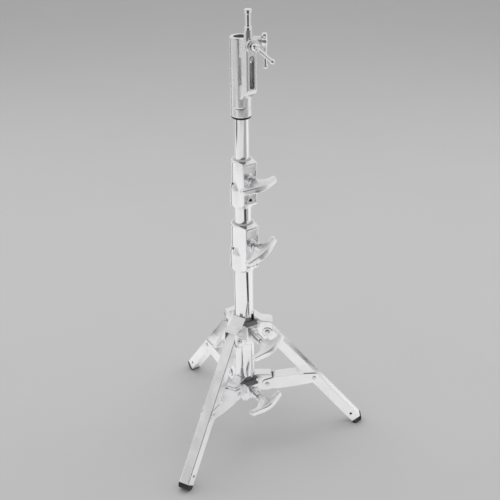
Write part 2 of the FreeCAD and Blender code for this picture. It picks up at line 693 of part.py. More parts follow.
def make_brace(name, azimuth):
    """Folded sheet brace: a web between two side plates that fork round tongue and leg."""
    brace = new_body(name + "_brace")
    half = "(brace_depth / 2)"
    end_half = "(brace_end_depth / 2)"
    web_end = f"({BRACE_LENGTH} - brace_web_setback)"
    side = [
        ("0", f"-{end_half}"),
        (BRACE_WEB_START, f"-{half}"),
        (web_end, f"-{half} + 1"),
        (BRACE_LENGTH, f"-{end_half}"),
        (BRACE_LENGTH, end_half),
        (web_end, half),
        (BRACE_WEB_START, half),
        ("0", end_half),
    ]
    prism(brace, "XZ_Plane", side, f"-{BRACE_OUTER}", f"2 * {BRACE_OUTER}")
    for centre in (("0", "0"), (BRACE_LENGTH, "0")):
        disc(brace, "XZ_Plane", centre, "brace_end_depth", f"-{BRACE_OUTER}", f"2 * {BRACE_OUTER}")
    under = f"({half} - brace_sheet)"
    prism(brace, "XZ_Plane", [
        ("-brace_depth", "-brace_depth"),
        (f"{BRACE_LENGTH} + brace_depth", "-brace_depth"),
        (f"{BRACE_LENGTH} + brace_depth", "brace_depth"),
        (web_end, "brace_depth"),
        (web_end, under),
        (BRACE_WEB_START, under),
        (BRACE_WEB_START, "brace_depth"),
        ("-brace_depth", "brace_depth"),
    ], f"-{BRACE_INNER}", f"2 * {BRACE_INNER}", cut=True)
    for centre in (("0", "0"), (BRACE_LENGTH, "0")):
        disc(brace, "XZ_Plane", centre, "rivet_diameter + 2 * running_clearance",
             f"-{BRACE_OUTER}", f"2 * {BRACE_OUTER}", cut=True)

    rivets = new_body(name + "_brace_rivets")
    rivets.AllowCompound = True
    centre = (BRACE_LENGTH, "0")
    disc(rivets, "XZ_Plane", centre, "rivet_diameter", BRACE_INNER, "brace_sheet")
    disc(rivets, "XZ_Plane", centre, "rivet_head_diameter", BRACE_OUTER, "rivet_head_height")
    disc(rivets, "XZ_Plane", centre, "rivet_diameter", f"-{BRACE_OUTER}", "brace_sheet")
    disc(rivets, "XZ_Plane", centre, "rivet_head_diameter",
         f"-({BRACE_OUTER} + rivet_head_height)", "rivet_head_height")
    for body in (brace, rivets):
        place(body, azimuth, "brace_pivot_radius", BRACE_PIVOT_Z, pitch="-brace_rise")


def make_tripod():
    """Legs and braces with the pins that they turn on."""
    make_bolts("leg_bolts", "leg_pivot_radius", LEG_PIVOT_Z, "leg_bolt_diameter",
               "bolt_head_diameter", "bolt_head_height", BOLT_SEAT)
    make_bolts("brace_pins", "brace_pivot_radius", BRACE_PIVOT_Z, "rivet_diameter",
               "rivet_head_diameter", "rivet_head_height", f"({BRACE_OUTER} + working_gap)")
    for name, azimuth in LEG_AZIMUTHS.items():
        make_leg(name, azimuth)
        make_brace(name, azimuth)


# Riser collars

def make_collar(name, azimuth, bottom, height, tube_radius, riser_radius, handle_tilt):
    """Cast collar on the end of one tube, with the bush and clamp that hold the next one."""
    body = new_body(name + "_collar")
    skirt = f"({tube_radius} + seat_clearance + collar_skirt_wall)"
    bush = f"({riser_radius} + running_clearance + bush_wall)"
    neck = f"({bush} + seat_clearance + collar_neck_wall)"
    rim = f"({neck} + collar_rim_lip)"
    face = f"({skirt} + collar_block_depth)"
    turned(body, [
        ("0", "0"),
        (f"{skirt} - 5", "0"),
        (f"{skirt} - 1.5", "2"),
        (skirt, "6"),
        (skirt, "collar_grip - collar_shoulder / 3"),
        (neck, "collar_grip + collar_shoulder * 2 / 3"),
        (neck, f"{height} - collar_rim_height - 2"),
        (rim, f"{height} - collar_rim_height"),
        (rim, f"{height} - 1.5"),
        (f"{rim} - 1.5", height),
        ("0", height),
    ])
    half = "(collar_block_width / 2)"
    prism(body, "XY_Plane", [("0", f"-{neck}"), (face, f"-{half}"), (face, half), ("0", neck)],
          "collar_block_bottom", f"{height} - collar_block_bottom")
    slope_top = "(collar_block_bottom + collar_block_slope)"
    prism(body, "XZ_Plane", [
        (f"{face} - collar_block_slope", "collar_block_bottom"),
        (f"{face} + 1", "collar_block_bottom"),
        (f"{face} + 1", f"{slope_top} + 1"),
    ], f"-{neck}", f"2 * {neck}", cut=True)
    front = number(face)
    round_edges(body, "collar_edge_round",
                lambda edge: runs_along(edge, AXIS_Z) and abs(edge.CenterOfMass.x - front) < 1e-3)
    panel = f"({half} - collar_frame)"
    panel_low = f"({slope_top} + collar_frame)"
    panel_high = f"({height} - 2 * collar_frame)"
    floor = f"({face} - collar_recess)"
    prism(body, "YZ_Plane", [(f"-{panel}", panel_low), (panel, panel_low), (panel, panel_high),
                             (f"-{panel}", panel_high)], floor, "collar_recess", cut=True)
    screw = ("0", "collar_screw_height")
    fixing = ("0", "collar_fixing_height")
    disc(body, "YZ_Plane", screw, "collar_pad_diameter", f"{floor} - 1", "collar_recess / 2 + 1")
    disc(body, "YZ_Plane", screw, "collar_boss_diameter", f"{floor} - 1",
         "1 + collar_recess + collar_boss_length")
    disc(body, "YZ_Plane", fixing, "collar_boss_diameter", f"{floor} - 1", "collar_recess + 1")
    tube_bore = f"({tube_radius} + seat_clearance)"
    bush_bore = f"({bush} + seat_clearance)"
    riser_bore = f"({riser_radius} + working_gap)"
    turned(body, [
        ("0", "0"),
        (tube_bore, "0"),
        (tube_bore, "collar_grip"),
        (riser_bore, "collar_grip"),
        (riser_bore, "collar_grip + tube_wall"),
        (bush_bore, "collar_grip + tube_wall"),
        (bush_bore, height),
        ("0", height),
    ], cut=True)
    disc(body, "YZ_Plane", screw, SCREW_BORE, "0", f"{face} + collar_boss_length", cut=True)
    disc(body, "YZ_Plane", fixing, "fixing_screw_diameter + 2 * seat_clearance", "0", face, cut=True)
    disc(body, "XZ_Plane", ("0", "collar_hole_height"), "collar_hole_diameter",
         f"{skirt} - collar_hole_depth - 2", "collar_hole_depth + 4", cut=True)
    place(body, azimuth, height=bottom)

    ring = new_body(name + "_collar_bush")
    inner = f"({riser_radius} + running_clearance)"
    turned(ring, [
        (inner, "collar_grip + tube_wall"),
        (bush, "collar_grip + tube_wall"),
        (bush, height),
        (inner, height),
    ])
    disc(ring, "YZ_Plane", screw, SCREW_BORE, "0", f"{bush} + 1", cut=True)
    place(ring, azimuth, height=bottom)

    fixing_screw = new_body(name + "_collar_fixing_screw")
    fixing_end = f"({floor} + collar_recess / 2)"
    disc(fixing_screw, "YZ_Plane", ("0", "0"), "fixing_screw_diameter",
         tube_radius, f"{fixing_end} - {tube_radius}")
    disc(fixing_screw, "XY_Plane", ("0", "0"), f"2 * ({tube_radius} + seat_clearance)",
         "-fixing_screw_diameter", "2 * fixing_screw_diameter", cut=True)
    disc(fixing_screw, "YZ_Plane", ("0", "0"), "fixing_socket_diameter",
         f"{fixing_end} - fixing_socket_depth", "fixing_socket_depth", cut=True)
    place(fixing_screw, azimuth, height=f"{bottom} + collar_fixing_height")

    make_clamp(name, azimuth, f"({bottom} + collar_screw_height)", riser_radius,
               f"({face} + collar_boss_length + handle_gap)", handle_tilt)


# Combination head

def make_head():
    """Head casting: a socket for a large spigot beside a pocket that a small spigot slides in."""
    body = new_body("head")
    radius = "(head_diameter / 2)"
    ring_low = "head_ring_height"
    ring_high = "(head_ring_height + head_ring_width)"
    turned(body, [
        ("0", "0"),
        (f"{radius} - 1", "0"),
        (radius, "1"),
        (radius, ring_low),
        (f"{radius} - head_ring_depth", ring_low),
        (f"{radius} - head_ring_depth", ring_high),
        (radius, ring_high),
        (radius, "head_height - 1.5"),
        (f"{radius} - 1.5", "head_height"),
        ("0", "head_height"),
    ])
    half = "(pocket_width / 2)"
    prism(body, "XZ_Plane", [
        (f"{radius} - 6", "pocket_bottom"),
        (radius, "pocket_bottom"),
        (f"{POCKET_FACE} * 0.8 + {radius} * 0.2", "pocket_bottom + pocket_slope * 0.55"),
        (POCKET_FACE, "pocket_bottom + pocket_slope"),
        (POCKET_FACE, "head_height"),
        (f"{radius} - 6", "head_height"),
    ], f"-{half}", "pocket_width")
    front = number(POCKET_FACE)
    round_edges(body, "pocket_edge_round",
                lambda edge: runs_along(edge, AXIS_Z) and abs(edge.CenterOfMass.x - front) < 1e-3)
    screw = ("0", HEAD_SCREW)
    disc(body, "YZ_Plane", screw, "spigot_boss_diameter", "pocket_radius",
         f"{POCKET_FACE} - pocket_radius + spigot_boss_length")
    place(body, "head_azimuth", height=HEAD_Z)

    boss = new_sketch(body, "YZ_Plane")
    draw_circle(boss, screw, "socket_boss_diameter")
    turn_sketch(boss, "socket_lever_azimuth")
    extrude(body, boss, f"{radius} + socket_boss_length", cut=False)

    bore = "(socket_diameter / 2)"
    tube = f"({TOP_TUBE_R} + seat_clearance)"
    turned(body, [("0", "0"), (tube, "0"), (tube, "head_grip"), ("0", "head_grip")], cut=True)
    turned(body, [("0", "head_height - socket_depth"), (bore, "head_height - socket_depth"),
                  (bore, f"head_height + {bore}"), ("0", f"head_height + {bore}")], cut=True)
    disc(body, "XY_Plane", ("pocket_radius", "0"), "spigot_shank_diameter + 2 * running_clearance",
         "pocket_bottom + pocket_floor", "head_height", cut=True)
    slot = "(window_width / 2)"
    prism(body, "YZ_Plane", [(f"-{slot}", "window_bottom"), (slot, "window_bottom"),
                             (slot, WINDOW_TOP), (f"-{slot}", WINDOW_TOP)],
          "pocket_radius", f"{POCKET_FACE} - pocket_radius", cut=True)
    for side in (half, f"-{half}"):
        disc(body, "XY_Plane", ("head_groove_radius", side), "head_groove_diameter",
             "window_bottom", f"{WINDOW_TOP} - window_bottom", cut=True)
    for end in ("window_bottom", WINDOW_TOP):
        disc(body, "YZ_Plane", ("0", end), "window_width", "pocket_radius",
             f"{POCKET_FACE} - pocket_radius", cut=True)
    disc(body, "YZ_Plane", screw, SCREW_BORE, "pocket_radius",
         f"{POCKET_FACE} - pocket_radius + spigot_boss_length", cut=True)
    disc(body, "YZ_Plane", ("0", "head_pin_height"), "head_pin_diameter + 2 * seat_clearance",
         f"-{radius}", radius, cut=True)
    drill = new_sketch(body, "YZ_Plane")
    draw_circle(drill, screw, SCREW_BORE)
    turn_sketch(drill, "socket_lever_azimuth")
    extrude(body, drill, f"{radius} + socket_boss_length", cut=True)

    gasket = new_body("head_gasket")
    inner = f"({TOP_TUBE_R} + seat_clearance)"
    turned(gasket, [
        (inner, GASKET_Z),
        (f"{inner} + gasket_wall - 2", GASKET_Z),
        (f"{inner} + gasket_wall", f"{GASKET_Z} + 2"),
        (f"{inner} + gasket_wall", HEAD_Z),
        (inner, HEAD_Z),
    ])

    pin = new_body("head_pin")
    disc(pin, "YZ_Plane", ("0", "0"), "head_pin_diameter", f"-{radius}",
         f"{radius} - {TOP_TUBE_R} + 2 * tube_wall")
    place(pin, "head_azimuth", height=f"{HEAD_Z} + head_pin_height")


def make_lever(label, azimuth, back, tilt, short_arm):
    """Clamp lever: a turned hub with one long arm and one short one."""
    body = new_body(label)
    half_thickness = "(lever_arm_thickness / 2)"
    half_width = "(lever_arm_width / 2)"
    middle = "(lever_hub_length / 2)"
    prism(body, "XY_Plane", [
        (f"{middle} - {half_width}", f"0 - {short_arm}"),
        (f"{middle} - {half_width}", "0"),
        (f"{middle} - {half_width} + lever_arm_rise", "lever_long_arm"),
        (f"{middle} + {half_width} + lever_arm_rise", "lever_long_arm"),
        (f"{middle} + {half_width}", "0"),
        (f"{middle} + {half_width}", f"0 - {short_arm}"),
    ], f"-{half_thickness}", "lever_arm_thickness")
    round_edges(body, f"{half_width} - 0.5",
                lambda edge: runs_along(edge, AXIS_Z) and abs(edge.CenterOfMass.y) > 1)
    disc(body, "YZ_Plane", ("0", "0"), "lever_hub_diameter", "0", "lever_hub_length")
    disc(body, "YZ_Plane", ("lever_long_arm", "0"), "lever_knob_diameter",
         f"{middle} - {half_width} + lever_arm_rise - 1", "lever_arm_width + 2")
    disc(body, "YZ_Plane", ("0", "0"), "clamp_screw_diameter + 2 * seat_clearance",
         "0", "lever_screw_in_hub", cut=True)
    place(body, azimuth, back, f"{HEAD_Z} + {HEAD_SCREW}", roll=tilt)


def make_head_levers():
    """The levers that clamp the large and the small spigot, with their screws."""
    height = f"({HEAD_Z} + {HEAD_SCREW})"
    azimuth = "(head_azimuth + socket_lever_azimuth)"
    back = "(head_diameter / 2 + socket_boss_length + lever_gap)"
    make_screw("socket_lever_screw", azimuth, height, "(socket_diameter / 2 + working_gap)",
               f"({back} + lever_screw_in_hub)")
    make_lever("socket_lever", azimuth, back, "socket_lever_tilt", "lever_short_arm")
    back = f"({POCKET_FACE} + spigot_boss_length + lever_gap)"
    make_screw("spigot_lever_screw", "head_azimuth", height, f"(pocket_radius + {SPIGOT_R} + working_gap)",
               f"({back} + lever_screw_in_hub)")
    make_lever("spigot_lever", "head_azimuth", back, "spigot_lever_tilt", "lever_stub_arm")


def make_spigot():
    """Small spigot with a waist, and the peg that keeps it in its pocket."""
    spigot = new_body("spigot")
    pin = "(spigot_diameter / 2)"
    waist = "(spigot_neck_diameter / 2)"
    ring_low = "spigot_taper"
    ring_high = f"({ring_low} + spigot_ring)"
    lip_low = f"({ring_high} + spigot_neck)"
    top = f"({lip_low} + spigot_lip)"
    turned(spigot, [
        ("0", "0 - spigot_shank"),
        (f"{SPIGOT_R} - 1", "0 - spigot_shank"),
        (SPIGOT_R, "1 - spigot_shank"),
        (SPIGOT_R, "0"),
        (pin, ring_low),
        (pin, ring_high),
        (waist, f"{ring_high} + spigot_slope"),
        (waist, f"{lip_low} - spigot_slope"),
        (pin, lip_low),
        (pin, f"{top} - spigot_chamfer"),
        (f"{pin} - spigot_chamfer", top),
        ("0", top),
    ])
    seat = f"({SPIGOT_R} - peg_seat_depth)"
    disc(spigot, "YZ_Plane", ("0", PEG_Z), "peg_diameter + 2 * seat_clearance",
         seat, "2 * peg_seat_depth", cut=True)
    place(spigot, "head_azimuth", "pocket_radius", f"{HEAD_Z} + head_height")

    peg = new_body("spigot_peg")
    reach = f"({POCKET_FACE} - pocket_radius - peg_inset)"
    disc(peg, "YZ_Plane", ("0", PEG_Z), "peg_diameter", seat, f"{reach} - {seat}")
    place(peg, "head_azimuth", "pocket_radius", f"{HEAD_Z} + head_height")


# Assembly

make_column()
make_leg_collar()
make_brace_collar()
make_tripod()
make_collar("lower", "lower_collar_azimuth", LOWER_COLLAR_Z, "lower_collar_height",
            BASE_TUBE_R, MIDDLE_TUBE_R, "lower_handle_tilt")
make_collar("upper", "upper_collar_azimuth", UPPER_COLLAR_Z, "upper_collar_height",
            MIDDLE_TUBE_R, TOP_TUBE_R, "upper_handle_tilt")
make_head()
make_head_levers()
make_spigot()
doc.recompute()

for item in doc.Objects:
    if "Invalid" in item.State or "Error" in item.State:
        raise RuntimeError(f"{item.Label} did not build: {item.State}")
for body in subparts:
    if body.Shape.isNull() or not body.Shape.isValid():
        raise RuntimeError(f"{body.Label} has no valid shape")

os.makedirs("parts", exist_ok=True)
for body in subparts:
    body.Shape.exportStep(f"parts/{body.Label}.step")
print(len(subparts), "sub-parts written")
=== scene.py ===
import json
import math

import bmesh
import bpy
from mathutils import Matrix, Vector

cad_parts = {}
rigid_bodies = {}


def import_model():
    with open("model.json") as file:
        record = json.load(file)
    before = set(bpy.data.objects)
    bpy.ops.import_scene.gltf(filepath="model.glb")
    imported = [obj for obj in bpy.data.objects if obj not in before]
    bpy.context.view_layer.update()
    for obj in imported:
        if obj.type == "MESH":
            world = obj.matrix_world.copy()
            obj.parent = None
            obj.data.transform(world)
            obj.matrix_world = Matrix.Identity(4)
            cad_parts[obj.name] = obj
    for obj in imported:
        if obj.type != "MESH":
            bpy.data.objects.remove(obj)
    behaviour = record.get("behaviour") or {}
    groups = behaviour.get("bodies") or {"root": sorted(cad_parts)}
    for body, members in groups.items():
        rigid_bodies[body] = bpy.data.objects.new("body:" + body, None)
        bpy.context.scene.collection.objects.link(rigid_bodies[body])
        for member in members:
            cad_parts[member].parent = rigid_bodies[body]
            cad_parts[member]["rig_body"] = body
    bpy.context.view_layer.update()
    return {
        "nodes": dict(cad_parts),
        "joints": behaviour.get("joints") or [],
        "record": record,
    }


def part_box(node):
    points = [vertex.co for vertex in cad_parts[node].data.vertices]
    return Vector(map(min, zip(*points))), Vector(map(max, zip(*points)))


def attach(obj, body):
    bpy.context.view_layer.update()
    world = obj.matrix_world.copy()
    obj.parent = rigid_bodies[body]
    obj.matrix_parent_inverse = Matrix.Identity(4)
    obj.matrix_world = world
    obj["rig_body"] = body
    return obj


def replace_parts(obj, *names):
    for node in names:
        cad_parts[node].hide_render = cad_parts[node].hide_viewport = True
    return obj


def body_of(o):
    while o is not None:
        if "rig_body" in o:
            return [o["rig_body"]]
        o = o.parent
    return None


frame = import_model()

# Low light stand: finishes, finer castings and fasteners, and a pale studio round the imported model

NODES = frame["nodes"]
SLOT_OF = {part["node"]: part["material_slot"] for part in frame["record"]["subparts"]}
MM = 0.001
LEG_AZIMUTHS = {"right": 0.0, "rear": 120.0, "front": 240.0}
LEG_ANGLE = 40.0


def joint_named(name):
    return next(joint for joint in frame["joints"] if joint["name"] == name)


def heading(joint):
    """The angle about Z at which a joint's axis points away from the column."""
    axis = Vector(joint["axis"])
    return math.atan2(axis.y, axis.x)


# Camera at the photograph's viewing angle

CAMERA_SPOT = Vector((0.0, -1.8509, 1.4607))
CAMERA_LENS = 66.4
CAMERA_SENSOR = 36.0
CAMERA_NEAR = 0.05
CAMERA_YAW = math.radians(0.474)
CAMERA_PITCH = math.radians(-27.738)
CAMERA_ROLL = math.radians(-0.609)


def make_camera():
    """A camera where the photograph was taken from."""
    forward = Vector((math.sin(CAMERA_YAW) * math.cos(CAMERA_PITCH),
                      math.cos(CAMERA_YAW) * math.cos(CAMERA_PITCH),
                      math.sin(CAMERA_PITCH)))
    level_right = Vector((math.cos(CAMERA_YAW), -math.sin(CAMERA_YAW), 0))
    level_up = level_right.cross(forward)
    right = level_right * math.cos(CAMERA_ROLL) + level_up * math.sin(CAMERA_ROLL)
    up = level_up * math.cos(CAMERA_ROLL) - level_right * math.sin(CAMERA_ROLL)
    turn = Matrix((right, up, -forward)).transposed()
    data = bpy.data.cameras.new("camera")
    data.lens = CAMERA_LENS
    data.sensor_width = CAMERA_SENSOR
    data.clip_start = CAMERA_NEAR
    camera = bpy.data.objects.new("camera", data)
    camera.matrix_world = Matrix.Translation(CAMERA_SPOT) @ turn.to_4x4()
    bpy.context.scene.collection.objects.link(camera)
    bpy.context.scene.camera = camera


# Material nodes

NOISE_ROUGHNESS = 0.55
SHADER_SAMPLES = 6


class Shader:
    """A material's node tree, with short calls for the nodes that are used here."""

    def __init__(self, name, **settings):
        self.material = bpy.data.materials.new(name)
        self.material.use_nodes = True
        self.tree = self.material.node_tree
        self.surface = self.tree.nodes["Principled BSDF"]
        for socket, value in settings.items():
            self.surface.inputs[socket.replace("_", " ")].default_value = value
        self.spot = self.add("ShaderNodeTexCoord").outputs["Object"]

    def add(self, kind):
        return self.tree.nodes.new(kind)

    def link(self, out, socket):
        self.tree.links.new(out, socket)

    def to_surface(self, socket, out):
        self.link(out, self.surface.inputs[socket])

    def stretched(self, scale, turn=(0, 0, 0)):
        """Object coordinates turned and scaled apart, for grain along a direction."""
        mapping = self.add("ShaderNodeMapping")
        mapping.inputs["Rotation"].default_value = turn
        self.link(self.spot, mapping.inputs["Vector"])
        scaled = self.add("ShaderNodeVectorMath")
        scaled.operation = "MULTIPLY"
        scaled.inputs[1].default_value = scale
        self.link(mapping.outputs[0], scaled.inputs[0])
        return scaled.outputs[0]

    def noise(self, scale, detail, spot=None):
        """Cloudy noise between 0 and 1."""
        node = self.add("ShaderNodeTexNoise")
        node.inputs["Scale"].default_value = scale
        node.inputs["Detail"].default_value = detail
        node.inputs["Roughness"].default_value = NOISE_ROUGHNESS
        self.link(spot or self.spot, node.inputs["Vector"])
        return node.outputs["Fac"]

    def ranged(self, value, band, to=(0.0, 1.0)):
        """A value's band stretched to another, and held at its ends."""
        node = self.add("ShaderNodeMapRange")
        self.link(value, node.inputs["Value"])
        for name, limit in zip(("From Min", "From Max", "To Min", "To Max"), (*band, *to)):
            node.inputs[name].default_value = limit
        return node.outputs["Result"]

    def math(self, operation, first, second):
        """A sum, difference or product of outputs and plain numbers."""
        node = self.add("ShaderNodeMath")
        node.operation = operation
        for socket, value in zip(node.inputs, (first, second)):
            if isinstance(value, (int, float)):
                socket.default_value = value
            else:
                self.link(value, socket)
        return node.outputs[0]

    def mix(self, factor, first, second):
        """A colour between two colours, each plain or an output."""
        node = self.add("ShaderNodeMix")
        node.data_type = "RGBA"
        self.link(factor, node.inputs["Factor"])
        colours = [socket for socket in node.inputs if socket.type == "RGBA"]
        for socket, value in zip(colours, (first, second)):
            if isinstance(value, tuple):
                socket.default_value = (*value, 1.0)
            else:
                self.link(value, socket)
        return next(out for out in node.outputs if out.type == "RGBA")

    def crevices(self, distance):
        """1 in the open and less in corners, for painted shade."""
        node = self.add("ShaderNodeAmbientOcclusion")
        node.samples = SHADER_SAMPLES
        node.inputs["Distance"].default_value = distance
        return node.outputs["AO"]

    def height_part(self, top):
        """0 at the floor and 1 from a height upward."""
        split = self.add("ShaderNodeSeparateXYZ")
        self.link(self.spot, split.inputs[0])
        return self.ranged(split.outputs["Z"], (0.0, top))

    def bump(self, height, strength, distance, edge_radius):
        """An uneven surface with rounded edges."""
        node = self.add("ShaderNodeBump")
        node.inputs["Strength"].default_value = strength
        node.inputs["Distance"].default_value = distance
        self.link(height, node.inputs["Height"])
        edge = self.add("ShaderNodeBevel")
        edge.samples = SHADER_SAMPLES
        edge.inputs["Radius"].default_value = edge_radius
        self.link(edge.outputs[0], node.inputs["Normal"])
        self.to_surface("Normal", node.outputs[0])


# Chrome

STAINED = (0.74, 0.74, 0.74)
# Dark grey painted into chrome's occluded corners as shade
CHROME_PAINTED_SHADE = (0.10, 0.095, 0.09)
SMUDGE_SCALE = 17.0
FINE_SCALE = 120.0
LINE_BAND = (0.60, 0.72)
LINE_GLOSS = 0.04
LINE_DEPTH = 0.15
FINE_GLOSS = 0.15
STAIN_MOST = 0.35
# The most that the painted shade darkens a corner
PAINTED_SHADE_MOST = 0.55
PEEL_DEPTH = 0.0004


def make_chrome(name, bright, roughness, grain, grain_turn=(0, 0, 0), peel=0.03, peel_scale=420.0,
                edge_radius=0.0006, shade_reach=0.004):
    """Chrome plate, slightly uneven: smudges and hairlines in its gloss, painted shade darkening its
    corners.
    """
    shader = Shader(name, Metallic=1.0)
    smudge = shader.noise(SMUDGE_SCALE, detail=4.0)
    fine = shader.noise(FINE_SCALE, detail=3.0)
    marks = shader.noise(1.0, detail=2.0, spot=shader.stretched(grain, grain_turn))
    lines = shader.ranged(marks, LINE_BAND)
    gloss = shader.ranged(smudge, (0.35, 0.75), to=(roughness * 0.75, roughness * 1.55))
    gloss = shader.math("ADD", gloss, shader.math("MULTIPLY", lines, LINE_GLOSS))
    gloss = shader.math("ADD", gloss, shader.math("MULTIPLY", fine, roughness * FINE_GLOSS))
    shader.to_surface("Roughness", gloss)
    stain = shader.ranged(smudge, (0.42, 0.8), to=(0.0, STAIN_MOST))
    colour = shader.mix(stain, bright, STAINED)
    # Painted shade: the colour is darkened towards a dark grey in occluded corners, by an amount
    # that varies at random
    painted_shade = shader.ranged(shader.crevices(shade_reach), (0.15, 0.7), to=(PAINTED_SHADE_MOST, 0.0))
    painted_shade = shader.math("MULTIPLY", painted_shade, shader.ranged(fine, (0.3, 0.7), to=(0.5, 1.0)))
    shader.to_surface("Base Color", shader.mix(painted_shade, colour, CHROME_PAINTED_SHADE))
    uneven = shader.noise(peel_scale, detail=2.0)
    surface = shader.math("SUBTRACT", uneven, shader.math("MULTIPLY", lines, LINE_DEPTH))
    shader.bump(surface, strength=peel, distance=PEEL_DEPTH, edge_radius=edge_radius)
    return shader.material


# Steel, rubber, nylon and brass

# Dark grey painted into steel's occluded corners as shade, and how far that painted shade reaches
STEEL_PAINTED_SHADE = (0.06, 0.055, 0.05)
STEEL_SHADE_REACH = 0.003
SCUFF_GRAIN = (90.0, 90.0, 260.0)
RUB_GRAIN = (500.0, 500.0, 9.0)


def make_steel(name, bright, dark, roughness, grain_scale):
    """Bright plated steel with a fine grain, and painted shade in the corners."""
    shader = Shader(name, Metallic=1.0)
    cloud = shader.noise(scale=60.0, detail=3.0)
    gloss = shader.ranged(cloud, (0.3, 0.7), to=(roughness * 0.8, roughness * 1.4))
    shader.to_surface("Roughness", gloss)
    # Painted shade: the colour is darkened towards a dark grey in occluded corners
    painted_shade = shader.ranged(shader.crevices(STEEL_SHADE_REACH), (0.2, 0.8), to=(0.8, 0.0))
    colour = shader.mix(shader.ranged(cloud, (0.35, 0.7)), bright, dark)
    shader.to_surface("Base Color", shader.mix(painted_shade, colour, STEEL_PAINTED_SHADE))
    grain = shader.noise(grain_scale, detail=2.0)
    shader.bump(grain, strength=0.06, distance=0.0003, edge_radius=0.0004)
    return shader.material


def make_rubber(name, colour, dust, dust_top):
    """Moulded rubber: a pebbled skin, scuffs, and dust that fades upward from the floor."""
    shader = Shader(name, Specular_IOR_Level=0.3)
    pebble = shader.noise(scale=900.0, detail=2.0)
    scuff = shader.noise(1.0, detail=4.0, spot=shader.stretched(SCUFF_GRAIN))
    patch = shader.noise(scale=45.0, detail=4.0)
    low = shader.math("SUBTRACT", 1.0, shader.height_part(dust_top))
    dusty = shader.math("MULTIPLY", low, shader.ranged(patch, (0.35, 0.7), to=(0.1, 0.75)))
    dusty = shader.math("ADD", dusty, shader.ranged(scuff, (0.62, 0.78), to=(0.0, 0.35)))
    shader.to_surface("Base Color", shader.mix(dusty, colour, dust))
    shader.to_surface("Roughness", shader.ranged(patch, (0.3, 0.7), to=(0.62, 0.85)))
    skin = shader.math("ADD", pebble, scuff)
    shader.bump(skin, strength=0.18, distance=0.0004, edge_radius=0.0012)
    return shader.material


def make_nylon(name, colour, worn):
    """Moulded nylon, polished a little where it slides."""
    shader = Shader(name, Specular_IOR_Level=0.45)
    cloud = shader.noise(scale=70.0, detail=4.0)
    rub = shader.noise(1.0, detail=3.0, spot=shader.stretched(RUB_GRAIN))
    wear = shader.ranged(rub, (0.45, 0.8), to=(0.0, 0.7))
    shader.to_surface("Base Color", shader.mix(wear, colour, worn))
    shader.to_surface("Roughness", shader.ranged(cloud, (0.3, 0.7), to=(0.38, 0.6)))
    pebble = shader.noise(scale=650.0, detail=2.0)
    shader.bump(pebble, strength=0.08, distance=0.0003, edge_radius=0.0004)
    return shader.material


def make_brass(name, bright, tarnish):
    """Machined brass, tarnished in patches."""
    shader = Shader(name, Metallic=1.0)
    patch = shader.noise(scale=130.0, detail=4.0)
    shader.to_surface("Base Color", shader.mix(shader.ranged(patch, (0.35, 0.7)), bright, tarnish))
    shader.to_surface("Roughness", shader.ranged(patch, (0.3, 0.7), to=(0.22, 0.45)))
    grain = shader.noise(scale=900.0, detail=2.0)
    shader.bump(grain, strength=0.08, distance=0.0002, edge_radius=0.0003)
    return shader.material


# Finishes of the material slots

BRIGHT = (0.90, 0.90, 0.91)
SATIN = (0.81, 0.81, 0.82)
UP_GRAIN = (900.0, 900.0, 5.0)
EVEN_GRAIN = (160.0, 160.0, 160.0)
CHROMES = {
    "tube_chrome": dict(bright=BRIGHT, roughness=0.09, grain=UP_GRAIN, peel=0.012),
    "brace_chrome": dict(bright=BRIGHT, roughness=0.16, grain=EVEN_GRAIN),
    "cast_chrome": dict(bright=BRIGHT, roughness=0.17, grain=EVEN_GRAIN, peel=0.06,
                        peel_scale=260.0, edge_radius=0.0012),
    "handle_chrome": dict(bright=BRIGHT, roughness=0.26, grain=EVEN_GRAIN, peel=0.05,
                          peel_scale=260.0, edge_radius=0.0010),
    # The head's painted corner shade reaches only 1.5 mm
    "head_chrome": dict(bright=SATIN, roughness=0.22, grain=UP_GRAIN, peel=0.008, shade_reach=0.0015),
    "lever_chrome": dict(bright=BRIGHT, roughness=0.10, grain=EVEN_GRAIN),
    "spigot_chrome": dict(bright=BRIGHT, roughness=0.08, grain=UP_GRAIN, peel=0.012),
}
LEG_CHROME = dict(bright=BRIGHT, roughness=0.22, grain=UP_GRAIN, peel=0.01)
STEELS = {
    "screw_steel": dict(bright=(0.62, 0.62, 0.63), dark=(0.45, 0.44, 0.43), roughness=0.30,
                        grain_scale=1500.0),
    "bolt_steel": dict(bright=(0.82, 0.82, 0.83), dark=(0.66, 0.66, 0.66), roughness=0.22,
                       grain_scale=900.0),
    "socket_steel": dict(bright=(0.10, 0.10, 0.105), dark=(0.05, 0.05, 0.05), roughness=0.38,
                         grain_scale=1500.0),
}
RUBBERS = {
    "foot_rubber": dict(colour=(0.022, 0.022, 0.023), dust=(0.16, 0.15, 0.14), dust_top=0.02),
    "gasket_rubber": dict(colour=(0.018, 0.018, 0.019), dust=(0.07, 0.07, 0.07), dust_top=0.001),
    "plate_rubber": dict(colour=(0.135, 0.137, 0.14), dust=(0.20, 0.20, 0.20), dust_top=0.001),
}
NYLON = dict(colour=(0.55, 0.55, 0.54), worn=(0.42, 0.42, 0.41))
BRASS = dict(bright=(0.78, 0.58, 0.26), tarnish=(0.42, 0.28, 0.12))


def grain_along(azimuth, lean):
    """The turn that brings a direction leaning out from the column onto the grain's own Z."""
    outward = Matrix.Rotation(math.radians(azimuth), 3, "Z")
    direction = outward @ Matrix.Rotation(math.radians(lean), 3, "Y")
    return direction.inverted().to_euler("XYZ")


